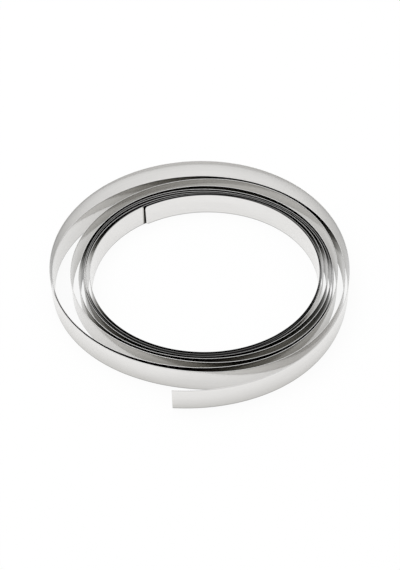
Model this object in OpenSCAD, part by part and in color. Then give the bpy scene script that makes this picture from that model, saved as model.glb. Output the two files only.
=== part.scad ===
// Nickel strip in a loose coil: one flat strip, wound on edge and left free, so that the inner
// laps nest close together and the outer laps have sprung apart.
// Millimetres, +Z up. The strip stands on its lower slit edge, and the origin is at the middle
// of its footprint. +Y is the back, where the outer lap bulges farthest. Seen from above, the
// strip winds outward clockwise.

/* [Strip] */
// Width of the strip, which is the height of the coil as it lies
strip_w = 8; // [4:0.5:20]
// Thickness of the strip
strip_t = 0.2; // [0.1:0.05:0.4]

/* [Coil] */
// Inside diameter of the coil's eye
eye_d = 75.6; // [50:0.2:120]
// Whole laps, counted from the inner end
laps = 8; // [1:1:8]
// How far the strip runs on past the whole laps, in degrees
tail_turn = 224; // [0:1:350]
// How far the laps have sprung apart: 1 is the coil as it lies, less is wound tighter
looseness = 1; // [0.4:0.1:1.5]

/* [Hidden] */

// Air left between laps that lie against each other
touch_gap = 0.1;
// Where the inner end is cut, in degrees from +X
start_angle = 122;
// The laps are laid out by stations this many degrees apart
station_step = 45;
stations_per_lap = 360 / station_step;
// Angle between the ribs of the outline
rib_step = 4;

// Air outside the lap before, at the stations of each lap in winding order. The first row is the
// first lap's departure from a round eye.
//            back   back  back  right front front front left
//            left         right       right       left
free_air = [[-0.1, -0.3,  0.0, -0.4,  0.3, -0.4,  0.0, -0.2],
            [ 0.8,  0.0,  0.2,  0.0,  0.4,  0.6,  0.4,  1.3],
            [ 0.8,  0.0,  1.3,  0.1,  0.4,  0.0,  0.5,  0.0],
            [ 1.3,  0.2,  0.4,  1.6,  0.1,  0.1,  0.2,  0.0],
            [ 0.5,  1.1,  0.0,  0.9,  1.5,  0.0,  2.0,  0.7],
            [ 0.6,  2.2,  0.4,  0.2,  2.7,  0.6,  0.6,  3.5],
            [ 2.6,  4.1,  3.6,  0.1,  0.5,  2.4,  4.3,  6.8],
            [ 3.3,  0.4,  0.8,  2.6,  2.5,  1.0,  0.2,  0.0],
            [ 7.8,  9.2,  3.0,  0.1,  2.2,  8.9, 11.0,  8.5]];
station_count = len(free_air) * stations_per_lap;

wound_angle = 360 * laps + tail_turn;
wind_angles = concat([for (a = [0 : rib_step : wound_angle - rib_step / 2]) a], [wound_angle]);

// Radius that each station pulls the strip's inner face towards
function station_r(i) = let (lap = floor(i / stations_per_lap), place = i % stations_per_lap)
    lap == 0 ? eye_d / 2 + looseness * free_air[0][place]
             : station_r(i - stations_per_lap) + strip_t + touch_gap + looseness * free_air[lap][place];

pull = [for (i = [0 : station_count - 1]) station_r(i)];
function pull_at(i) = pull[max(0, min(station_count - 1, i))];

// A cubic B-spline through the four nearest stations: the curvature never jumps, and a lap
// never crosses its neighbour because all its weights are positive
function face_r(a) = let (u = a / station_step, i = floor(u), t = u - i)
    ((1 - t) ^ 3 * pull_at(i - 1)
     + (3 * t ^ 3 - 6 * t ^ 2 + 4) * pull_at(i)
     + (-3 * t ^ 3 + 3 * t ^ 2 + 3 * t + 1) * pull_at(i + 1)
     + t ^ 3 * pull_at(i + 2)) / 6;

function rib_point(a, depth) = (face_r(a) + depth) * [cos(start_angle - a), sin(start_angle - a)];

// Inner face out to the tail, then the outer face back to the start
inner_face = [for (a = wind_angles) rib_point(a, 0)];
outer_face = [for (k = [len(wind_angles) - 1 : -1 : 0]) rib_point(wind_angles[k], strip_t)];
outline = concat(inner_face, outer_face);

xs = [for (p = outline) p[0]];
ys = [for (p = outline) p[1]];
footprint_centre = [(min(xs) + max(xs)) / 2, (min(ys) + max(ys)) / 2];

module strip() {
    color("silver")
        linear_extrude(strip_w)
            translate(-footprint_centre)
                polygon(outline);
}

strip();
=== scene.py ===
"""Dresses a loose coil of bright nickel strip and sets it in a plain studio.

The coil is one flat strip wound on edge. Its solid comes from the frame; this script winds the
same strip again with rounded slit edges and trimmed end corners, and gives it rolled faces, slit
edges and sheared ends.
"""

import logging
import math
from dataclasses import dataclass, field
from enum import Enum

import bmesh
import bpy
from mathutils import Matrix, Vector


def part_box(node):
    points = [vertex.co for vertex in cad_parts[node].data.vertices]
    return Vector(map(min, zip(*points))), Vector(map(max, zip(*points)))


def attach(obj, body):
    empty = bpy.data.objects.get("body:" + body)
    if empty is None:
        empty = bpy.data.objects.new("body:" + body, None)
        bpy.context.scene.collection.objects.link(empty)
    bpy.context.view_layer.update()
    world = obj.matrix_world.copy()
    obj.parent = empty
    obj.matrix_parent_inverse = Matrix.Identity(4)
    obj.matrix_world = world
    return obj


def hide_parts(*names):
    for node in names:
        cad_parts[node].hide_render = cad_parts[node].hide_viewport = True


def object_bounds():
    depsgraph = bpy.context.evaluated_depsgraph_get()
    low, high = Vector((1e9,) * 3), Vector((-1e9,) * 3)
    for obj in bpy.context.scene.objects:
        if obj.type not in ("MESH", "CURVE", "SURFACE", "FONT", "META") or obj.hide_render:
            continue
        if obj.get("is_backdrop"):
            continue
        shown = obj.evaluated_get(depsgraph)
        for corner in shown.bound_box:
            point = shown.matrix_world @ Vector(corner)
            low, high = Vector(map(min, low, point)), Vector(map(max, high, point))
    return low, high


Layer = bmesh.types.BMLayerItem
Socket = bpy.types.NodeSocket
Span = tuple[float, float]
Triple = tuple[float, float, float]

LOG = logging.getLogger("nickel_strip")
# A millimetre in metres, then a lap and a right angle in degrees
MM = 0.001
LAP = 360.0
RIGHT_ANGLE = 90
WHITE = (1.0, 1.0, 1.0)
# Layers that the strip's mesh carries for its finishes; two of them carry painted shade
SURFACE, ACROSS, PAINTED_SHADE, TOP_SHADE = "strip", "across", "painted_shade", "top_shade"


def grey(level: float) -> Triple:
    """Returns a grey of the given level."""
    return (level, level, level)


class Skin(Enum):
    """The kinds of surface on the strip, numbered as their material slots."""

    ROLLED = 0
    SLIT = 1
    SHEARED = 2


class Side(Enum):
    """The faces of the strip, numbered as the bands of its surface map."""

    INNER = 0
    OUTER = 1


class Work(Enum):
    """What a Math node makes of two values."""

    TIMES = "MULTIPLY"
    LARGER = "MAXIMUM"


class PlainWhite(Enum):
    """The node that gives plain white, by what it covers."""

    SURFACE = "ShaderNodeEmission"
    SKY = "ShaderNodeBackground"


@dataclass(frozen=True)
class Grain:
    """A pattern of blots.

    Args:
        pitch: Blots to the metre along each axis.
        layers: How many finer layers lie over the largest blots.
        rough: How strong the finer layers are.
    """

    pitch: Triple
    layers: float
    rough: float


class Net:
    """The nodes of one material or sky, with the few calls that the finishes are made of."""

    def __init__(self, owner: bpy.types.Material | bpy.types.World) -> None:
        """Starts from the shader that a new material or world comes with.

        Args:
            owner: The new material or world.
        """
        owner.use_nodes = True
        self.owner = owner
        self.nodes = owner.node_tree.nodes
        self.links = owner.node_tree.links
        output = next(node for node in self.nodes if "Surface" in node.inputs)
        self.surface = output.inputs["Surface"]
        self.shader = self.surface.links[0].from_node

    def node(
        self,
        kind: str,
        leads: dict[str | int, Socket | float | tuple[float, ...]] | None = None,
        **traits: str,
    ) -> bpy.types.Node:
        """Adds a node.

        Args:
            kind: Kind of node.
            leads: What each input is given, another node's output or a plain value.
            traits: Settings of the node, made first because they choose its inputs.

        Returns:
            The node.
        """
        node = self.nodes.new(kind)
        for trait, choice in traits.items():
            setattr(node, trait, choice)
        for name, given in (leads or {}).items():
            if isinstance(given, Socket):
                self.links.new(given, node.inputs[name])
            else:
                node.inputs[name].default_value = given
        return node

    def fix(self, values: dict[str, float | tuple[float, ...]]) -> None:
        """Sets sockets of the shader to plain values."""
        for name, value in values.items():
            self.shader.inputs[name].default_value = value

    def to(self, value: Socket, socket: str) -> None:
        """Leads a value into a socket of the shader."""
        self.links.new(value, self.shader.inputs[socket])

    def surface_place(self) -> Socket:
        """Returns the place along and across the strip, in metres."""
        return self.node("ShaderNodeUVMap", uv_map=SURFACE).outputs["UV"]

    def object_place(self) -> Socket:
        """Returns the place in the piece's own frame, in metres."""
        return self.node("ShaderNodeTexCoord").outputs["Object"]

    def attribute(self, name: str) -> Socket:
        """Returns a value that the piece's mesh carries."""
        return self.node("ShaderNodeAttribute", attribute_name=name).outputs["Fac"]

    def grain(self, place: Socket, grain: Grain) -> Socket:
        """Lays a pattern on a place.

        Args:
            place: Where the pattern lies, in metres.
            grain: The pattern.

        Returns:
            The pattern's value, from 0 to 1.
        """
        scaled = self.node("ShaderNodeMapping", {"Vector": place, "Scale": grain.pitch})
        leads = {
            "Vector": scaled.outputs["Vector"],
            "Scale": 1.0,
            "Detail": grain.layers,
            "Roughness": grain.rough,
        }
        return self.node("ShaderNodeTexNoise", leads).outputs["Fac"]

    def blended(self, first: Socket, second: Socket, share: float) -> Socket:
        """Blends two patterns, of which the second has the given share."""
        leads = {"Factor": share, "A": first, "B": second}
        return self.node("ShaderNodeMix", leads).outputs["Result"]

    def worked(self, work: Work, first: Socket, second: Socket | float) -> Socket:
        """Makes one value of two."""
        leads = {0: first, 1: second}
        return self.node("ShaderNodeMath", leads, operation=work.value).outputs["Value"]

    def tinted(self, colour: Socket, *tints: Socket) -> Socket:
        """Multiplies a colour by one tint after another.

        Args:
            colour: The colour.
            tints: What it is multiplied by.

        Returns:
            The tinted colour.
        """
        for tint in tints:
            leads = {"Factor": 1.0, "A": colour, "B": tint}
            mix = self.node("ShaderNodeMix", leads, data_type="RGBA", blend_type="MULTIPLY")
            colour = mix.outputs["Result"]
        return colour

    def ramp(self, value: Socket, *stops: tuple[float, Triple]) -> Socket:
        """Turns a pattern into a colour.

        Args:
            value: The pattern.
            stops: Places along the pattern and the colour at each.

        Returns:
            The colour.
        """
        node = self.node("ShaderNodeValToRGB", {"Fac": value})
        steps = node.color_ramp.elements
        while len(steps) < len(stops):
            steps.new(1.0)
        for step, (place, colour) in zip(steps, stops):
            step.position = place
            step.color = (*colour, 1.0)
        return node.outputs["Color"]

    def stretched(self, value: Socket, span: Span, results: Span) -> Socket:
        """Stretches a pattern, so that the ends of a span become the two results."""
        ends = dict(zip(("From Min", "From Max", "To Min", "To Max"), span + results))
        return self.node("ShaderNodeMapRange", {"Value": value} | ends).outputs["Result"]

    def bumps(self, *layers: tuple[Socket, float]) -> None:
        """Raises patterns on the surface, one over the other.

        Args:
            layers: Each pattern with its height in millimetres.
        """
        below: dict[str, Socket] = {}
        for pattern, height in layers:
            leads = {"Strength": 1.0, "Distance": height * MM, "Height": pattern}
            bump = self.node("ShaderNodeBump", leads | below)
            below = {"Normal": bump.outputs["Normal"]}
        self.to(below["Normal"], "Normal")

    def whiten(self, white: PlainWhite, seen: float, mirrored: float) -> None:
        """Lays plain white over the shader, as the background and the metal see it.

        Args:
            white: The node that gives the white.
            seen: How much of the shader's own light the white covers for the camera.
            mirrored: The same, as metal and glass show it.
        """
        rays = self.node("ShaderNodeLightPath").outputs
        bent = self.worked(Work.LARGER, rays["Is Glossy Ray"], rays["Is Transmission Ray"])
        leads = {
            0: self.worked(
                Work.LARGER,
                self.worked(Work.TIMES, rays["Is Camera Ray"], seen),
                self.worked(Work.TIMES, bent, mirrored),
            ),
            1: self.shader.outputs[0],
            2: self.node(white.value, {"Color": (*WHITE, 1.0)}).outputs[0],
        }
        cover = self.node("ShaderNodeMixShader", leads)
        self.links.new(cover.outputs["Shader"], self.surface)


@dataclass(frozen=True)
class RolledNickel:
    """Bright cold-rolled face: a soft mirror with fine lines that run along the strip.

    Where laps lie close together the face carries painted shade, in place of the shade between the
    laps, and looks darker. The painted shade is strongest at the lower edge, weakest just below
    the upper one and strong again along it. The outermost lap has painted shade towards the top of
    its inner face. Along its foot the face has painted shade, where it meets the table, and along
    its upper edge it is darker. Places across the strip are shares of its width, from the lower
    edge up.

    Args:
        tone: Colour of the clean metal.
        dull_tone: Colour where the roll left the metal a little duller.
        tone_span: Dullness at which the colour is the one and the other.
        gloss: Roughness of the brightest and the dullest places.
        gloss_span: Dullness at which the roughness is the one and the other.
        lines: Roll lines, long along the strip and a fraction of a millimetre across it.
        clouds: Cloudy patches that the roll leaves every few centimetres.
        cloud_share: Part that the clouds have in the dullness.
        wave: Slow wave of the sheet under the fine lines.
        line_height: Height of the roll lines, in millimetres.
        wave_height: Height of the wave, in millimetres.
        light_shade: How much painted shade counts as light.
        light_shade_share: Part of the colour that is left under light painted shade, which looks
            faintly olive.
        full_shade_share: Part of the colour that is left under full painted shade.
        shade_band: Where the band of strong painted shade along the upper edge begins.
        plain: Strength of the painted shade just below that band, where it is weakest.
        top_shade_share: Part of the colour that is left at the very top where the painted shade
            there
        is full.
        foot: Where the painted shade along the foot, where the face meets the table, ends.
        foot_share: Part of the colour that is left at the very foot, under that painted shade.
        top_band: Where the darker band along the upper edge begins.
        top_band_share: Part of the colour that is left at the very top.
    """

    tone: Triple = (0.838, 0.830, 0.818)
    dull_tone: Triple = (0.768, 0.759, 0.747)
    tone_span: Span = (0.30, 0.72)
    gloss: Span = (0.08, 0.17)
    gloss_span: Span = (0.30, 0.75)
    lines: Grain = Grain((14.0, 5200.0, 1.0), 4.0, 0.55)
    clouds: Grain = Grain((38.0, 210.0, 1.0), 3.0, 0.5)
    cloud_share: float = 0.45
    wave: Grain = Grain((16.0, 60.0, 1.0), 1.0, 0.4)
    line_height: float = 0.0005
    wave_height: float = 0.05
    light_shade: float = 0.55
    light_shade_share: Triple = (0.495, 0.490, 0.465)
    full_shade_share: Triple = (0.07, 0.069, 0.062)
    shade_band: float = 0.89
    plain: float = 0.3
    top_shade_share: float = 0.35
    foot: float = 0.05
    foot_share: float = 0.35
    top_band: float = 0.97
    top_band_share: float = 0.5

    def make(self) -> bpy.types.Material:
        """Lays out the finish of the rolled faces.

        Returns:
            The material.
        """
        net = Net(bpy.data.materials.new("rolled_nickel"))
        net.fix({"Metallic": 1.0})
        place = net.surface_place()
        lines = net.grain(place, self.lines)
        dullness = net.blended(lines, net.grain(place, self.clouds), self.cloud_share)
        bright, dull = self.tone_span
        clean = net.ramp(dullness, (bright, self.tone), (dull, self.dull_tone))
        across = net.attribute(ACROSS)
        # Painted shade between close laps, in place of the shade there: strongest at the lower
        # edge, weakest just below the upper edge
        shade_profile = net.ramp(across, (0.0, WHITE), (self.shade_band, grey(self.plain)), (1.0, WHITE))
        shade_amount = net.worked(Work.TIMES, shade_profile, net.attribute(PAINTED_SHADE))
        painted_shade = net.ramp(shade_amount, (0.0, WHITE), (self.light_shade, self.light_shade_share), (1.0, self.full_shade_share))
        # Painted shade along the foot, where the face meets the table
        foot = ((0.0, grey(self.foot_share)), (self.foot, WHITE))
        # Darker band along the upper edge
        top_band = ((self.top_band, WHITE), (1.0, grey(self.top_band_share)))
        edge = net.ramp(across, *foot, *top_band)
        # Painted shade towards the top of the outermost lap's inner face
        top_shaded = net.worked(Work.TIMES, across, net.attribute(TOP_SHADE))
        top_shade = net.ramp(top_shaded, (0.0, WHITE), (1.0, grey(self.top_shade_share)))
        net.to(net.tinted(clean, painted_shade, edge, top_shade), "Base Color")
        net.to(net.stretched(dullness, self.gloss_span, self.gloss), "Roughness")
        wave = net.grain(place, self.wave)
        net.bumps((lines, self.line_height), (wave, self.wave_height))
        return net.owner


@dataclass(frozen=True)
class SlitNickel:
    """Slit edge: a burnished band over a torn one, darker and coarser than the face.

    Args:
        tone: Colour of the burnished metal.
        dark_tone: Colour in the torn places.
        tone_span: Wear at which the colour is the one and the other.
        gloss: Roughness of the burnished and of the torn metal.
        gloss_span: Wear at which the roughness is the one and the other.
        chatter: Marks that the slitter leaves across the edge.
        nicks: Coarser nicks.
        nick_share: Part that the nicks have in the wear.
        chatter_height: Height of the slitter's marks, in millimetres.
        full_shade_share: Part of the colour that is left where the painted shade between close
            laps is
        full.
    """

    tone: Triple = (0.78, 0.774, 0.766)
    dark_tone: Triple = (0.50, 0.495, 0.49)
    tone_span: Span = (0.35, 0.75)
    gloss: Span = (0.16, 0.34)
    gloss_span: Span = (0.30, 0.75)
    chatter: Grain = Grain((900.0, 9000.0, 1.0), 3.0, 0.6)
    nicks: Grain = Grain((160.0, 2500.0, 1.0), 2.0, 0.5)
    nick_share: float = 0.5
    chatter_height: float = 0.004
    full_shade_share: Triple = (0.03, 0.03, 0.029)

    def make(self) -> bpy.types.Material:
        """Lays out the finish of the slit edges.

        Returns:
            The material.
        """
        net = Net(bpy.data.materials.new("slit_nickel"))
        net.fix({"Metallic": 1.0})
        place = net.surface_place()
        chatter = net.grain(place, self.chatter)
        wear = net.blended(chatter, net.grain(place, self.nicks), self.nick_share)
        smooth, torn = self.tone_span
        clean = net.ramp(wear, (smooth, self.tone), (torn, self.dark_tone))
        # Painted shade on the edges between close laps, in place of the shade there
        painted_shade = net.ramp(net.attribute(PAINTED_SHADE), (0.0, WHITE), (1.0, self.full_shade_share))
        net.to(net.tinted(clean, painted_shade), "Base Color")
        net.to(net.stretched(wear, self.gloss_span, self.gloss), "Roughness")
        net.bumps((chatter, self.chatter_height))
        return net.owner


@dataclass(frozen=True)
class ShearedNickel:
    """Sheared end: matt metal scored down its height by the blade.

    Args:
        tone: Colour of the cut metal.
        dark_tone: Colour in the scores.
        tone_span: Depth in the scores at which the colour is the one and the other.
        gloss: Roughness of the smooth part and of the scores.
        gloss_span: Depth in the scores at which the roughness is the one and the other.
        scores: The scores.
        score_height: Height of the scores, in millimetres.
    """

    tone: Triple = (0.74, 0.73, 0.71)
    dark_tone: Triple = (0.52, 0.51, 0.49)
    tone_span: Span = (0.35, 0.70)
    gloss: Span = (0.24, 0.42)
    gloss_span: Span = (0.30, 0.70)
    scores: Grain = Grain((9000.0, 9000.0, 700.0), 3.0, 0.6)
    score_height: float = 0.006

    def make(self) -> bpy.types.Material:
        """Lays out the finish of the sheared ends.

        Returns:
            The material.
        """
        net = Net(bpy.data.materials.new("sheared_nickel"))
        net.fix({"Metallic": 1.0})
        scores = net.grain(net.object_place(), self.scores)
        smooth, scored = self.tone_span
        net.to(net.ramp(scores, (smooth, self.tone), (scored, self.dark_tone)), "Base Color")
        net.to(net.stretched(scores, self.gloss_span, self.gloss), "Roughness")
        net.bumps((scores, self.score_height))
        return net.owner


@dataclass(frozen=True)
class PaleFloor:
    """White studio table, which shows full white and still takes the coil's shadow.

    Args:
        tone: Level of the table's grey.
        speck_tone: Level in its faint specks.
        specks: The specks.
        speck_span: Values of the pattern at which the level is that of the specks and the table's.
        glow: How far the plain white of the background covers the lit table.
        mirrored_glow: The same, as metal and glass show the table.
    """

    tone: float = 0.96
    speck_tone: float = 0.95
    specks: Grain = Grain((40.0, 40.0, 40.0), 2.0, 0.5)
    speck_span: Span = (0.3, 0.7)
    glow: float = 0.9
    mirrored_glow: float = 0.7

    def make(self) -> bpy.types.Material:
        """Lays out the finish of the table.

        Returns:
            The material.
        """
        net = Net(bpy.data.materials.new("white_table"))
        net.fix({"Roughness": 1.0, "Specular IOR Level": 0.0})
        specks = net.grain(net.object_place(), self.specks)
        speck, clear = self.speck_span
        colour = net.ramp(specks, (speck, grey(self.speck_tone)), (clear, grey(self.tone)))
        net.to(colour, "Base Color")
        net.whiten(PlainWhite.SURFACE, self.glow, self.mirrored_glow)
        return net.owner


@dataclass(frozen=True)
class StripStock:
    """The flat strip as it comes off the slitter, in millimetres.

    Args:
        width: Width of the strip, which is the height of the coil.
        thickness: Thickness of the strip.
        edge_round: Radius that slitting leaves along the edges.
        end_round: Radius of the trimmed corners of the inner end.
    """

    width: float = 8.0
    thickness: float = 0.2
    edge_round: float = 0.045
    end_round: float = 0.9


@dataclass(frozen=True)
class CoilRoute:
    """The way the strip winds, seen from above, in millimetres and degrees.

    Args:
        eye: Inside diameter of the coil's eye.
        wound: How far the strip winds in all, clockwise.
        start: Where the inner end is cut, from +X.
        touch_gap: Air between laps that lie against each other.
        station_step: Angle between the stations that the laps are laid out by.
        free_air: Free air outside the lap before, at the stations of each lap.
    """

    eye: float = 75.6
    wound: float = 3104.0
    start: float = 122.0
    touch_gap: float = 0.1
    station_step: float = 45.0
    free_air: tuple[tuple[float, ...], ...] = (
        (-0.1, -0.3, 0.0, -0.4, 0.3, -0.4, 0.0, -0.2),
        (0.8, 0.0, 0.2, 0.0, 0.4, 0.6, 0.4, 1.3),
        (0.8, 0.0, 1.3, 0.1, 0.4, 0.0, 0.5, 0.0),
        (1.3, 0.2, 0.4, 1.6, 0.1, 0.1, 0.2, 0.0),
        (0.5, 1.1, 0.0, 0.9, 1.5, 0.0, 2.0, 0.7),
        (0.6, 2.2, 0.4, 0.2, 2.7, 0.6, 0.6, 3.5),
        (2.6, 4.1, 3.6, 0.1, 0.5, 2.4, 4.3, 6.8),
        (3.3, 0.4, 0.8, 2.6, 2.5, 1.0, 0.2, 0.0),
        (7.8, 9.2, 3.0, 0.1, 2.2, 8.9, 11.0, 8.5),
    )

    def pulls(self, thickness: float) -> list[float]:
        """Works out the radius that each station pulls the inner face towards.

        Args:
            thickness: Thickness of the strip.

        Returns:
            The radii in winding order.
        """
        radii: list[float] = []
        for lap, row in enumerate(self.free_air):
            for place, air in enumerate(row):
                below = self.eye / 2 if lap == 0 else radii[-len(row)] + thickness + self.touch_gap
                radii.append(below + air)
        return radii

    def radius(self, pulls: list[float], angle: float) -> float:
        """Runs a smooth cubic curve, a B-spline, past the four nearest stations.

        Args:
            pulls: The stations' radii.
            angle: How far the strip has wound.

        Returns:
            Radius of the strip's inner face.
        """
        whole, t = divmod(angle / self.station_step, 1.0)
        weights = (
            (1 - t) ** 3,
            3 * t**3 - 6 * t**2 + 4,
            -3 * t**3 + 3 * t**2 + 3 * t + 1,
            t**3,
        )
        near = (max(0, min(len(pulls) - 1, int(whole) + step)) for step in (-1, 0, 1, 2))
        # The four weights always add up to 6
        return sum(weight * pulls[station] for weight, station in zip(weights, near)) / 6

    def air(self, pulls: list[float], angle: float, side: Side, thickness: float) -> float:
        """Measures the gap between a face and the lap that it looks at.

        Args:
            pulls: The stations' radii.
            angle: How far the strip has wound.
            side: The face.
            thickness: Thickness of the strip.

        Returns:
            The gap, which is endless where the face looks at no lap.
        """
        facing = angle - LAP if side is Side.INNER else angle + LAP
        if not 0 <= facing <= self.wound:
            return math.inf
        return abs(self.radius(pulls, facing) - self.radius(pulls, angle)) - thickness


@dataclass(frozen=True)
class PaintedShade:
    """Painted shade at one place along the strip: 0 is none, and 1 is all that the eye can tell.

    Args:
        inner: Painted shade on the inner face.
        outer: Painted shade on the outer face.
        foot: Painted shade along the foot of the outer face.
        edge: Painted shade on the slit edges and the sheared ends.
        head: Painted shade along the head of the inner face, which fades inside the outermost lap.
    """

    inner: float
    outer: float
    foot: float
    edge: float
    head: float

    def on(self, skin: Skin, side: Side, low: bool) -> float:
        """Looks up the painted shade at a corner of the mesh.

        Args:
            skin: Kind of surface.
            side: Which way the surface looks.
            low: Whether the corner is on the lower half of the strip.

        Returns:
            The painted shade there.
        """
        if skin is not Skin.ROLLED:
            return self.edge
        if side is Side.INNER:
            return self.inner
        return self.foot if low else self.outer

    def top_shade_on(self, skin: Skin, side: Side, low: bool) -> float:
        """Looks up the painted shade at the top of the inner face at the same corner."""
        return self.head if skin is Skin.ROLLED and side is Side.INNER and not low else 0.0


@dataclass(frozen=True)
class StripMarks:
    """Layers of the strip's mesh.

    Args:
        surface: Surface map, in metres along and across the strip.
        across: Place across the strip, from 0 at the lower edge to 1 at the upper.
        painted_shade: How much painted shade lies there, which may be more than the eye can tell.
        top_shade: How strong the painted shade towards the top of the inner face is, from 0 to 1.
        run: Distance from the inner end, in metres.
        turn: How far the strip has wound, in degrees.
    """

    surface: Layer
    across: Layer
    painted_shade: Layer
    top_shade: Layer
    run: Layer
    turn: Layer


@dataclass
class NickelStrip:
    """The strip, wound into its coil.

    Args:
        stock: Sizes of the flat strip.
        route: The way it winds.
        rib_step: Angle between the ribs of the mesh, in degrees.
        trim_step: The same round a trimmed corner, seen from the middle of its round.
        edge_steps: Faces round each rounded edge.
        sharp: Angle past which two faces meet in a sharp edge, in degrees.
        shade_depth: Painted shade on the faces where laps touch, in place of the shade between
            them.
        shade_reach: Gap over which that painted shade falls to about a third, in millimetres.
        edge_depth: Painted shade on the edges where laps touch on both sides.
        edge_reach: The same for the gaps on both sides together, in millimetres.
        open_shade: Painted shade along the foot of the outermost lap's outer face, where it
            mirrors the
        table's shadow.
        top_shade_reach: Gap over which the painted shade at the top of its inner face falls to
            about
        a third, in millimetres.
        open_fade: How far along the lap inside it both fall to about a third, in degrees.
        lit_gaps: Where light reaches down the gap outside the strip and its painted shade gives
            way.
        Each is how far the strip has wound there and how far to either side the painted shade is
        back for the most part, in degrees.
        faces: Finish of the rolled faces.
        edges: Finish of the slit edges.
        ends: Finish of the sheared ends.
        band_pitch: From one band of the surface map to the next, in widths of the strip.
        eye_centre: Middle of the coil's eye in the frame, in metres, once the coil is built.
    """

    stock: StripStock = field(default_factory=StripStock)
    route: CoilRoute = field(default_factory=CoilRoute)
    rib_step: float = 1.5
    trim_step: int = 15
    edge_steps: int = 2
    sharp: float = 20.0
    shade_depth: float = 2.5
    shade_reach: float = 1.65
    edge_depth: float = 2.3
    edge_reach: float = 0.85
    open_shade: float = 0.28
    top_shade_reach: float = 5.5
    open_fade: float = 40.0
    lit_gaps: tuple[Span, ...] = (
        (302.0, 22.0),
        (505.0, 18.0),
        (662.0, 22.0),
        (865.0, 18.0),
        (1022.0, 22.0),
        (2212.0, 28.0),
        (2672.0, 35.0),
    )
    faces: RolledNickel = field(default_factory=RolledNickel)
    edges: SlitNickel = field(default_factory=SlitNickel)
    ends: ShearedNickel = field(default_factory=ShearedNickel)
    band_pitch: float = 2.5
    eye_centre: Vector = field(default_factory=Vector)

    def build(self) -> bpy.types.Object:
        """Winds the strip and puts it in the frame.

        Returns:
            The finished piece.
        """
        bm = bmesh.new()
        marks = StripMarks(
            surface=bm.loops.layers.uv.new(SURFACE),
            across=bm.loops.layers.float.new(ACROSS),
            painted_shade=bm.loops.layers.float.new(PAINTED_SHADE),
            top_shade=bm.loops.layers.float.new(TOP_SHADE),
            run=bm.verts.layers.float.new("run"),
            turn=bm.verts.layers.float.new("turn"),
        )
        self.wind(bm, marks)
        self.centre(bm)
        bmesh.ops.recalc_face_normals(bm, faces=bm.faces)
        self.sort_faces(bm, marks)
        mesh = bpy.data.meshes.new("nickel_strip")
        bm.to_mesh(mesh)
        bm.free()
        mesh.shade_smooth()
        mesh.set_sharp_from_angle(angle=math.radians(self.sharp))
        piece = bpy.data.objects.new("nickel_strip", mesh)
        bpy.context.collection.objects.link(piece)
        self.dress(piece)
        return piece

    def section(self, bm: bmesh.types.BMesh) -> bmesh.types.BMFace:
        """Draws the strip's section with its rounded edges, lying flat at the middle.

        Args:
            bm: Mesh that takes the section.

        Returns:
            The section's face, thickness along X and width along Y.
        """
        # Half a metre each way, so that the scale is the section's size in metres
        verts = bmesh.ops.create_grid(bm, x_segments=1, y_segments=1, size=0.5)["verts"]
        size = (self.stock.thickness * MM, self.stock.width * MM, 1.0)
        bmesh.ops.scale(bm, vec=size, verts=verts)
        bmesh.ops.bevel(
            bm,
            geom=verts,
            offset=self.stock.edge_round * MM,
            segments=self.edge_steps,
            profile=0.5,
            affect="VERTICES",
            material=-1,
        )
        bm.faces.ensure_lookup_table()
        return bm.faces[0]

    def rib(self, pulls: list[float], angle: float) -> Matrix:
        """Finds where a section stands.

        Args:
            pulls: The stations' radii.
            angle: How far the strip has wound.

        Returns:
            The place of a section that is drawn flat at the middle.
        """
        reach = self.route.radius(pulls, angle) + self.stock.thickness / 2
        turned = Matrix.Rotation(math.radians(self.route.start - angle), 4, "Z")
        out = Matrix.Translation(Vector((reach, 0.0, self.stock.width / 2)) * MM)
        upright = Matrix.Rotation(math.radians(RIGHT_ANGLE), 4, "X")
        trimmed = Matrix.Scale(self.share_of_width(reach * math.radians(angle)), 4, (0, 1, 0))
        return turned @ out @ upright @ trimmed

    def share_of_width(self, run: float) -> float:
        """Trims the section near the inner end, whose corners are rounded.

        Args:
            run: Distance from the inner end, in millimetres.

        Returns:
            Height of the section as a share of the strip's width.
        """
        short = max(0.0, self.stock.end_round - run)
        drop = self.stock.end_round - math.sqrt(self.stock.end_round**2 - short**2)
        return 1 - 2 * drop / self.stock.width

    def stops(self, pulls: list[float]) -> list[float]:
        """Lists the angles of the ribs: close together round the trimmed corners, then even.

        Args:
            pulls: The stations' radii.

        Returns:
            The angles in winding order.
        """
        reach = self.route.radius(pulls, 0.0)
        trims = [
            math.degrees(self.stock.end_round * (1 - math.cos(math.radians(turn))) / reach)
            for turn in range(0, RIGHT_ANGLE + 1, self.trim_step)
        ]
        first = math.ceil(trims[-1] / self.rib_step) + 1
        last = math.ceil(self.route.wound / self.rib_step)
        even = (rib * self.rib_step for rib in range(first, last + 1))
        return trims + [min(stop, self.route.wound) for stop in even]

    def wind(self, bm: bmesh.types.BMesh, marks: StripMarks) -> None:
        """Stands the section at the inner end and draws it out along the route.

        Args:
            bm: Mesh that takes the strip.
            marks: Layers that keep how far each vertex is along the strip.
        """
        pulls = self.route.pulls(self.stock.thickness)
        first, *others = self.stops(pulls)
        face = self.section(bm)
        place = self.rib(pulls, first)
        bmesh.ops.transform(bm, matrix=place, verts=face.verts)
        loop = list(face.edges)
        run = 0.0
        for stop in others:
            step = self.rib(pulls, stop)
            drawn = bmesh.ops.extrude_edge_only(bm, edges=loop)["geom"]
            verts = [item for item in drawn if isinstance(item, bmesh.types.BMVert)]
            loop = [item for item in drawn if isinstance(item, bmesh.types.BMEdge)]
            bmesh.ops.transform(bm, matrix=step @ place.inverted(), verts=verts)
            run += (step.translation - place.translation).length
            place = step
            for vert in verts:
                vert[marks.run] = run
                vert[marks.turn] = stop
        bmesh.ops.edgeloop_fill(bm, edges=loop)

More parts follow.
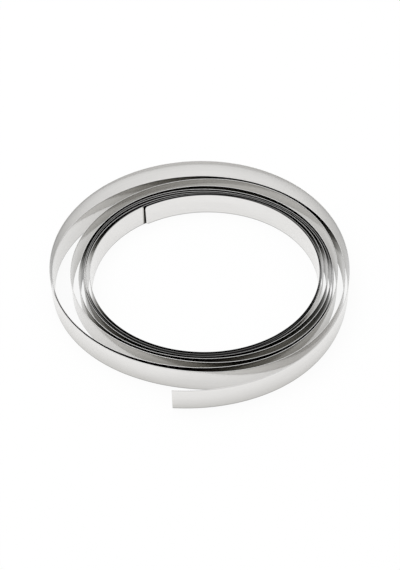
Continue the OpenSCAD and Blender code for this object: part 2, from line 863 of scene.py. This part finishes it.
    def centre(self, bm: bmesh.types.BMesh) -> None:
        """Moves the coil, wound about its eye, to its solid's place, and notes where the eye is.

        Args:
            bm: Mesh that holds the strip.
        """
        low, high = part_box("strip")
        xs = [vert.co.x for vert in bm.verts]
        ys = [vert.co.y for vert in bm.verts]
        middle = Vector((min(xs) + max(xs), min(ys) + max(ys), 0.0)) / 2
        target = Vector((low[0] + high[0], low[1] + high[1], 0.0)) / 2
        self.eye_centre = target - middle
        bmesh.ops.translate(bm, vec=self.eye_centre, verts=bm.verts)

    def sort_faces(self, bm: bmesh.types.BMesh, marks: StripMarks) -> None:
        """Gives each face its kind of surface, its place on the strip and its painted shade.

        Args:
            bm: Mesh that holds the strip.
            marks: Layers to read and to fill.
        """
        pulls = self.route.pulls(self.stock.thickness)
        height = self.stock.width * MM
        painted_shades = {turn: self.painted_shade(pulls, turn) for turn in {vert[marks.turn] for vert in bm.verts}}
        for face in bm.faces:
            outwards = face.normal.dot(face.calc_center_median()) > 0
            side = Side.OUTER if outwards else Side.INNER
            skin = self.skin(face)
            band = side.value * self.band_pitch * height
            face.material_index = skin.value
            for corner in face.loops:
                vert = corner.vert
                low = vert.co.z < height / 2
                painted_shade = painted_shades[vert[marks.turn]]
                corner[marks.surface].uv = (vert[marks.run], vert.co.z + band)
                corner[marks.across] = vert.co.z / height
                corner[marks.painted_shade] = painted_shade.on(skin, side, low)
                corner[marks.top_shade] = painted_shade.top_shade_on(skin, side, low)

    def skin(self, face: bmesh.types.BMFace) -> Skin:
        """Tells a face's kind of surface from its shape.

        Args:
            face: A face of the strip.

        Returns:
            Its kind of surface.
        """
        # Only the two ends show the whole section, with its rounded edges
        if len(face.verts) > 4:
            return Skin.SHEARED
        heights = [vert.co.z for vert in face.verts]
        tall = max(heights) - min(heights) > self.stock.width * MM / 2
        return Skin.ROLLED if tall else Skin.SLIT

    def painted_shade(self, pulls: list[float], angle: float) -> PaintedShade:
        """Finds how much painted shade the strip carries at one place.

        Args:
            pulls: The stations' radii.
            angle: How far the strip has wound.

        Returns:
            The painted shade on its faces and edges.
        """
        gaps = {side: self.route.air(pulls, angle, side, self.stock.thickness) for side in Side}
        # Share of the painted shade that each gap keeps, less where light reaches down it
        unlit = {Side.INNER: self.unlit_share(angle - LAP), Side.OUTER: self.unlit_share(angle)}
        # Painted shade on each face, deeper the closer the lap that it faces
        shaded = {
            side: unlit[side] * self.shade_depth * math.exp(-gaps[side] / self.shade_reach)
            for side in Side
        }
        covered = max(0.0, self.route.wound - LAP - angle) / self.open_fade
        # The edge round the eye gets as much painted shade as if a lap touched it from inside
        beside = (Side.OUTER,) if angle < LAP else tuple(Side)
        air = sum(gaps[side] for side in beside)
        most_unlit = max(unlit[side] for side in beside)
        return PaintedShade(
            inner=shaded[Side.INNER],
            outer=shaded[Side.OUTER],
            # Painted shade along the foot of the outermost lap's outer face, where it mirrors the
            # table's shadow
            foot=max(shaded[Side.OUTER], self.open_shade * math.exp(-covered)),
            edge=self.edge_depth * (most_unlit * math.exp(-air / self.edge_reach)),
            # Painted shade towards the top of the inner face, fading inside the outermost lap
            head=math.exp(-gaps[Side.INNER] / self.top_shade_reach - covered),
        )

    def unlit_share(self, angle: float) -> float:
        """Finds how much painted shade the gap outside the strip keeps, where light may reach down
        it.

        Args:
            angle: How far the strip has wound.

        Returns:
            From 0 where light reaches down the gap to 1 where it keeps all its painted shade.
        """
        # The painted shade gives way where light reaches down the gap
        return math.prod(
            1 - math.exp(-(((angle - middle) / reach) ** 2)) for middle, reach in self.lit_gaps
        )

    def dress(self, piece: bpy.types.Object) -> None:
        """Gives the strip its finishes and ties it to the frame.

        Args:
            piece: The finished strip.
        """
        for finish in (self.faces, self.edges, self.ends):
            piece.data.materials.append(finish.make())
        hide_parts("strip")
        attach(piece, "root")


@dataclass
class Studio:
    """A white table under an even white sky, with one soft lamp.

    Args:
        table_size: Half the side of the table, in metres.
        table_drop: How far the table lies under the coil, in millimetres.
        sky: Strength of the even light.
        lamp_power: Power of the soft lamp, in watts.
        lamp_side: Side of the soft lamp, in metres.
        lamp_place: Where the soft lamp hangs, in metres.
        table: Finish of the table.
    """

    table_size: float = 4.0
    table_drop: float = 0.02
    sky: float = 0.9
    lamp_power: float = 3.0
    lamp_side: float = 1.0
    lamp_place: Triple = (-0.35, 0.25, 1.1)
    table: PaleFloor = field(default_factory=PaleFloor)

    def build(self) -> None:
        """Makes the table, the sky and the lamp."""
        self.lay_table()
        self.light_sky()
        self.hang_lamp()

    def lay_table(self) -> None:
        """Lays the table just under the coil."""
        bm = bmesh.new()
        bmesh.ops.create_grid(bm, x_segments=1, y_segments=1, size=self.table_size)
        bmesh.ops.translate(bm, vec=(0.0, 0.0, -self.table_drop * MM), verts=bm.verts)
        mesh = bpy.data.meshes.new("table")
        bm.to_mesh(mesh)
        bm.free()
        table = bpy.data.objects.new("table", mesh)
        bpy.context.collection.objects.link(table)
        mesh.materials.append(self.table.make())
        table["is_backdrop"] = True

    def light_sky(self) -> None:
        """Lights the scene evenly from all round, and shows white behind it and in the metal."""
        net = Net(bpy.data.worlds.new("sky"))
        net.fix({"Color": (*WHITE, 1.0), "Strength": self.sky})
        net.whiten(PlainWhite.SKY, seen=1.0, mirrored=1.0)
        bpy.context.scene.world = net.owner

    def hang_lamp(self) -> None:
        """Hangs the soft lamp and points it at the coil."""
        lamp = bpy.data.lights.new("soft_lamp", "AREA")
        lamp.shape = "SQUARE"
        lamp.size = self.lamp_side
        lamp.energy = self.lamp_power
        holder = bpy.data.objects.new("soft_lamp", lamp)
        bpy.context.collection.objects.link(holder)
        place = Vector(self.lamp_place)
        turned = (-place).to_track_quat("-Z", "Y").to_matrix().to_4x4()
        holder.matrix_world = Matrix.Translation(place) @ turned


@dataclass
class Viewpoint:
    """The camera, set by the coil's eye.

    Args:
        eye_centre: Middle of the coil's eye in the frame, in metres.
        aim: Where the camera aims, from the middle of the eye, in millimetres.
        distance: From the aim to the camera, in millimetres.
        elevation: Height of the camera over the table, in degrees.
        roll: Turn about the line of sight, in degrees.
        lens: Focal length, in millimetres.
        sensor_side: Longer side of the sensor, in millimetres.
        nearest: Distance at which the view begins, in metres.
    """

    eye_centre: Vector
    aim: Span = (-1.816, 0.341)
    distance: float = 400.4
    elevation: float = 43.83
    roll: float = -1.78
    lens: float = 75.79
    sensor_side: float = 36.0
    nearest: float = 0.01

    def build(self) -> None:
        """Sets up the camera and makes it the scene's own."""
        optics = bpy.data.cameras.new("camera")
        optics.lens = self.lens
        optics.sensor_width = self.sensor_side
        optics.clip_start = self.nearest
        camera = bpy.data.objects.new("camera", optics)
        bpy.context.collection.objects.link(camera)
        tilt = math.radians(self.elevation)
        target = self.eye_centre + Vector((*self.aim, 0.0)) * MM
        back = Vector((0.0, -math.cos(tilt), math.sin(tilt))) * self.distance * MM
        camera.matrix_world = (
            Matrix.Translation(target + back)
            @ Matrix.Rotation(math.radians(RIGHT_ANGLE) - tilt, 4, "X")
            @ Matrix.Rotation(math.radians(self.roll), 4, "Z")
        )
        bpy.context.scene.camera = camera


def main(cad_box: tuple[Vector, Vector]) -> None:
    """Builds the strip and its studio, and reports each.

    Args:
        cad_box: Lowest and highest corner of the solids; not used.
    """
    logging.basicConfig(level=logging.INFO, format="%(name)s: %(message)s")
    strip = NickelStrip()
    piece = strip.build()
    LOG.info("%s: %d faces", piece.name, len(piece.data.polygons))
    Studio().build()
    Viewpoint(strip.eye_centre).build()
    LOG.info("studio and camera are set")
    bpy.context.scene.view_settings.view_transform = "Standard"


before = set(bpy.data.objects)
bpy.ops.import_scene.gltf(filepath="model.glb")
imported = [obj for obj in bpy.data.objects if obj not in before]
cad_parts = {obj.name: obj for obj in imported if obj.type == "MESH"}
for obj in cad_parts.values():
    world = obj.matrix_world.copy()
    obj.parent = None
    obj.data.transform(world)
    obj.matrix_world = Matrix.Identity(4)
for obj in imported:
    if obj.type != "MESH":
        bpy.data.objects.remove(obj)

if __name__ == "__main__":
    main(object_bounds())
